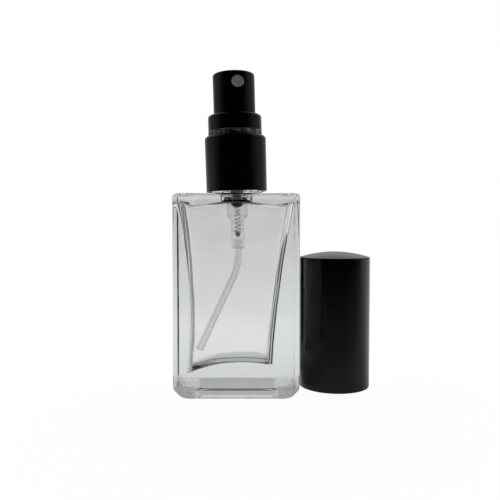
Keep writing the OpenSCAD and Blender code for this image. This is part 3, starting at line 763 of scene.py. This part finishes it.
def dip_tube():
    """Bent tube: straight in its socket, round the bend, then straight to the corner."""
    path = [(0, TUBE_MOUTH_H + TUBE_DEPTH, 0), (0, TUBE_MOUTH_H + TUBE_DEPTH / 2, 0)]
    for i in range(BEND_STEPS + 1):
        a = TUBE_BEND * i / BEND_STEPS
        path.append((TUBE_BEND_R * (math.cos(a) - 1), TUBE_MOUTH_H - TUBE_BEND_R * math.sin(a), a))
    x, z, a = path[-1]
    for i in range(1, STRAIGHT_STEPS + 1):
        run = TUBE_STRAIGHT * i / STRAIGHT_STEPS
        path.append((x - run * math.sin(a), z - run * math.cos(a), a))
    stations = [(Vector((x, 0, z)), Vector((math.cos(a), 0, -math.sin(a))), Vector((0, 1, 0))) for x, z, a in path]
    piece = sweep("dip_tube_bent", stations, TUBE_R, TUBE_SIDES, NECK, bore=TUBE_BORE_R)
    return put(piece, "pump", "tube_pe", TUBE, "dip_tube")


def coil(name, mean_r, low, high, turns):
    """Wire spring with its end coils drawn together."""
    steps = int(turns * COIL_STEPS)
    ends = CLOSED_TURNS / turns
    stations = []
    for i in range(steps + 1):
        u = i / steps
        angle = 2 * math.pi * turns * u
        climb = min(1, max(0, (u - ends) / (1 - 2 * ends)))
        z = low + SPRING_WIRE_R + (high - low - 2 * SPRING_WIRE_R) * climb + END_RISE * (u - 0.5)
        side = Vector((math.cos(angle), math.sin(angle), 0))
        stations.append((mean_r * side + Vector((0, 0, z)), side, Vector((0, 0, 1))))
    return sweep(name, stations, SPRING_WIRE_R, WIRE_SIDES, NECK)


def spring(node_name, body, mean_r, turns):
    """Coil in the place of a CAD spring, given a mesh of its own."""
    _, low, high = neck_size(node_name)
    piece = coil(node_name + "_coil", mean_r, low, high, turns)
    put(piece, body, "spring_steel", WIRE, node_name)
    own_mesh(piece)


def inlet_ball():
    _, low, high = neck_size("inlet_ball")
    r, middle, steps = (high - low) / 2, (low + high) / 2, 32
    profile = [(r * math.sin(math.pi * i / steps), middle - r * math.cos(math.pi * i / steps))
               for i in range(steps + 1)]
    profile[0], profile[-1] = (0, low), (0, high)
    return put(lathe("inlet_ball_steel", profile, NECK, 64), "ball", "ball_steel", BALL, "inlet_ball")


def carried_over():
    """Hidden pump pieces whose CAD shape is right: they only take better materials."""
    for name, material in (("neck_gasket", FOAM), ("turret", HOUSING), ("stem_seal", RUBBER), ("stem", WHITE_PE),
                           ("valve_pin", RUBBER), ("piston", WHITE_PE)):
        part = frame["nodes"][name]
        for index in range(len(part.material_slots)):
            part.material_slots[index].material = material


# ------------------------------------------------------------------ overcap

DOME_RISE, CAP_WALL, CAP_SEGMENTS, CAP_SHARP_DEG = 1.7, 0.8, 192, 30
LINER_BORE_R, LINER_WALL = 9.15, 1.2
GROOVE_LOW, GROOVE_HIGH, GROOVE_DEPTH = 8.0, 19.6, 0.12


def overcap():
    """Domed shell, and the liner that grips the collar."""
    r = (CAP_HIGH.x - CAP_LOW.x) / 2 / MM
    top = CAP_HIGH.z / MM
    straight = top - DOME_RISE
    dome_r = (r * r + DOME_RISE * DOME_RISE) / (2 * DOME_RISE)
    place = Matrix.Translation(CAP_CENTRE)
    inner_r, outer = r - CAP_WALL, r - CAP_WALL - 0.02

    def dome_z(x):
        return top - dome_r + math.sqrt(dome_r ** 2 - x ** 2)

    rim_z = dome_z(r - 0.28)
    profile = [(0, top)] + [(r * i / 16, dome_z(r * i / 16)) for i in range(1, 16)]
    profile += [(r - 0.28, rim_z), (r - 0.12, rim_z - 0.06), (r - 0.03, straight - 0.14), (r, straight - 0.3),
                (r, 0.2), (r - 0.06, 0.06), (r - 0.2, 0), (inner_r + 0.15, 0), (inner_r, 0.12),
                (inner_r, straight - 0.01), (0, straight - 0.01)]
    piece = lathe("overcap_outer", profile, place, CAP_SEGMENTS, CAP_SHARP_DEG)
    put(piece, "overcap", "black_cap", CAP_BLACK, "overcap_shell")

    ceiling = straight - LINER_WALL
    groove_r = LINER_BORE_R + GROOVE_DEPTH
    inside = [(outer, 0.6), (outer, straight - 0.03), (0, straight - 0.03), (0, ceiling),
              (LINER_BORE_R - 0.5, ceiling), (LINER_BORE_R, ceiling - 0.5), (LINER_BORE_R, GROOVE_HIGH + 0.4),
              (groove_r, GROOVE_HIGH), (groove_r, GROOVE_LOW), (LINER_BORE_R, GROOVE_LOW - 0.4),
              (LINER_BORE_R, 1.2), (outer - 0.2, 0.6)]
    piece = lathe("overcap_inner", inside, place, 160, CAP_SHARP_DEG)
    put(piece, "overcap", "liner_black", LINER, "overcap_liner")


# ------------------------------------------------------------------ stage

# Grey against the direction's Y, from the front of the room to its back
ROOM_AROUND = ((-1, 0.004), (-0.6, 0.01), (-0.2, 0.24), (0.0, 0.38), (0.5, 0.36), (0.85, 0.52), (1, 0.66))
# Grey against the direction's Z, from level to straight up
ROOM_UP = ((0, 0.71), (0.03, 0.66), (0.10, 0.51), (0.22, 0.52), (0.36, 0.9), (0.7, 0.95), (0.88, 0.5), (1, 0.25))
ROOM_STRENGTH = 1.43
# Grey of the floor against Y in metres, as the glass and the black pieces see it. Both are painted light: the glow
# is brightest just behind the bottle, dips under the bottle as a painted shadow and falls to painted shade toward
# the front; the diffuse white is painted darker toward the front
FLOOR_PAINTED_LIGHT = ((-0.4, 0.01), (-0.2, 0.06), (-0.06, 0.12), (0.0, 0.40), (0.03, 0.57), (0.07, 0.64), (0.11, 0.66),
              (0.2, 0.60), (0.35, 0.56), (0.6, 0.53), (0.9, 0.48))
FLOOR_WHITE_PAINTED_SHADE = ((-0.4, 0.02), (-0.25, 0.08), (-0.1, 0.55), (0.0, 0.75), (0.9, 0.75))
# The same two as the camera sees them
PAPER_GLOW, PAPER_WHITE = 0.955, 0.16
FLOOR_HALF = 3.0
FLOOR_Z = -0.00002

LENS_SHARE = 592 / 500    # focal length as a share of the picture's width
SENSOR_W = 36
EYE = (0.00389, -0.17608, 0.05000)
PITCH_DEG = 2.52
BOUNCES = 24


def is_camera_ray(tree):
    return node(tree, "ShaderNodeLightPath").outputs["Is Camera Ray"]


def grey_ramp(tree, source, stops):
    """Grey that follows a value through the stops (value, grey)."""
    low, high = stops[0][0], stops[-1][0]
    scaled = node(tree, "ShaderNodeMapRange")
    scaled.inputs["From Min"].default_value = low
    scaled.inputs["From Max"].default_value = high
    tree.links.new(source, scaled.inputs["Value"])
    ramp = node(tree, "ShaderNodeValToRGB")
    ramp.color_ramp.interpolation = "EASE"
    while len(ramp.color_ramp.elements) < len(stops):
        ramp.color_ramp.elements.new(0.5)
    for element, (value, _) in zip(ramp.color_ramp.elements, stops):
        element.position = (value - low) / (high - low)
    for element, (_, grey) in zip(ramp.color_ramp.elements, stops):
        element.color = (grey, grey, grey, 1)
    tree.links.new(scaled.outputs["Result"], ramp.inputs["Fac"])
    return ramp.outputs["Color"]


def seen_by_camera(tree, seen, otherwise):
    """One shader for the camera's own rays and another for all the rest."""
    mix = node(tree, "ShaderNodeMixShader")
    tree.links.new(is_camera_ray(tree), mix.inputs["Fac"])
    tree.links.new(otherwise, mix.inputs[1])
    tree.links.new(seen, mix.inputs[2])
    return mix.outputs[0]


def studio_world():
    """Soft room: dark at the front opening, dim at the sides, bright at the back and high up behind."""
    world = bpy.data.worlds.new("soft_room")
    bpy.context.scene.world = world
    world.use_nodes = True
    tree = world.node_tree
    tree.nodes.clear()
    place = node(tree, "ShaderNodeTexCoord")
    parts = node(tree, "ShaderNodeSeparateXYZ")
    flat = node(tree, "ShaderNodeVectorMath", operation="MULTIPLY")
    flat.inputs[1].default_value = (1, 1, 0)
    heading = node(tree, "ShaderNodeVectorMath", operation="NORMALIZE")
    heading_parts = node(tree, "ShaderNodeSeparateXYZ")
    tree.links.new(place.outputs["Generated"], parts.inputs[0])
    tree.links.new(place.outputs["Generated"], flat.inputs[0])
    tree.links.new(flat.outputs[0], heading.inputs[0])
    tree.links.new(heading.outputs[0], heading_parts.inputs[0])
    both = node(tree, "ShaderNodeMix", data_type="RGBA", blend_type="MULTIPLY")
    both.inputs[0].default_value = 1.0
    tree.links.new(grey_ramp(tree, heading_parts.outputs["Y"], ROOM_AROUND), both.inputs[6])
    tree.links.new(grey_ramp(tree, parts.outputs["Z"], ROOM_UP), both.inputs[7])
    room = node(tree, "ShaderNodeBackground", Strength=ROOM_STRENGTH)
    tree.links.new(both.outputs[2], room.inputs["Color"])
    paper = node(tree, "ShaderNodeBackground", Strength=1.0)
    paper.inputs["Color"].default_value = (1, 1, 1, 1)
    output = node(tree, "ShaderNodeOutputWorld")
    tree.links.new(seen_by_camera(tree, paper.outputs[0], room.outputs[0]), output.inputs["Surface"])


def glowing_sheet(tree, glow, white):
    """Diffuse sheet that also glows; each of the two is a grey or a socket."""
    light = node(tree, "ShaderNodeEmission", Strength=1.0)
    sheet = node(tree, "ShaderNodeBsdfDiffuse")
    for value, shader in ((glow, light), (white, sheet)):
        if isinstance(value, float):
            shader.inputs["Color"].default_value = (value, value, value, 1)
        else:
            tree.links.new(value, shader.inputs["Color"])
    both = node(tree, "ShaderNodeAddShader")
    tree.links.new(light.outputs[0], both.inputs[0])
    tree.links.new(sheet.outputs[0], both.inputs[1])
    return both.outputs[0]


def floor():
    """Pale floor with a faint contact shadow; the glass sees painted light on it, brightest just behind the bottle,
    with a painted shadow under the bottle and painted shade toward the front.
    """
    mesh = bpy.data.meshes.new("studio_floor")
    corners = ((-1, -1), (1, -1), (1, 1), (-1, 1))
    mesh.from_pydata([(x * FLOOR_HALF, y * FLOOR_HALF, 0) for x, y in corners], [], [(0, 1, 2, 3)])
    piece = bpy.data.objects.new("studio_floor", mesh)
    bpy.context.scene.collection.objects.link(piece)
    piece.location.z = FLOOR_Z
    material = bpy.data.materials.new("studio_floor")
    material.use_nodes = True
    tree = material.node_tree
    tree.nodes.clear()
    spot = object_place(tree)
    # Rays other than the camera's see the floor's painted light and painted shade; the camera sees it evenly white
    around = glowing_sheet(tree, grey_ramp(tree, spot["Y"], FLOOR_PAINTED_LIGHT), grey_ramp(tree, spot["Y"], FLOOR_WHITE_PAINTED_SHADE))
    seen = glowing_sheet(tree, PAPER_GLOW, PAPER_WHITE)
    output = node(tree, "ShaderNodeOutputMaterial")
    tree.links.new(seen_by_camera(tree, seen, around), output.inputs["Surface"])
    mesh.materials.append(material)


def camera():
    """Eye level a little above the middle of bottle and sprayer, close, tipped slightly down."""
    data = bpy.data.cameras.new("camera")
    data.sensor_width = SENSOR_W
    data.lens = SENSOR_W * LENS_SHARE
    data.clip_start = 0.01
    eye = bpy.data.objects.new("camera", data)
    bpy.context.scene.collection.objects.link(eye)
    eye.location = EYE
    eye.rotation_euler = (math.radians(90 - PITCH_DEG), 0, 0)
    bpy.context.scene.camera = eye


def look():
    scene = bpy.context.scene
    scene.view_settings.view_transform = "Standard"
    scene.cycles.max_bounces = BOUNCES
    scene.cycles.transmission_bounces = BOUNCES
    scene.cycles.transparent_max_bounces = BOUNCES


glass_bottle()
closure_band()
collar_sleeve()
collar_top_ring()
actuator()
nozzle_insert()
pump_housing()
dip_tube()
spring("return_spring", "pump", 1.05, 9)
spring("precompression_spring", "stem", 1.92, 5)
inlet_ball()
carried_over()
overcap()

studio_world()
floor()
camera()
look()
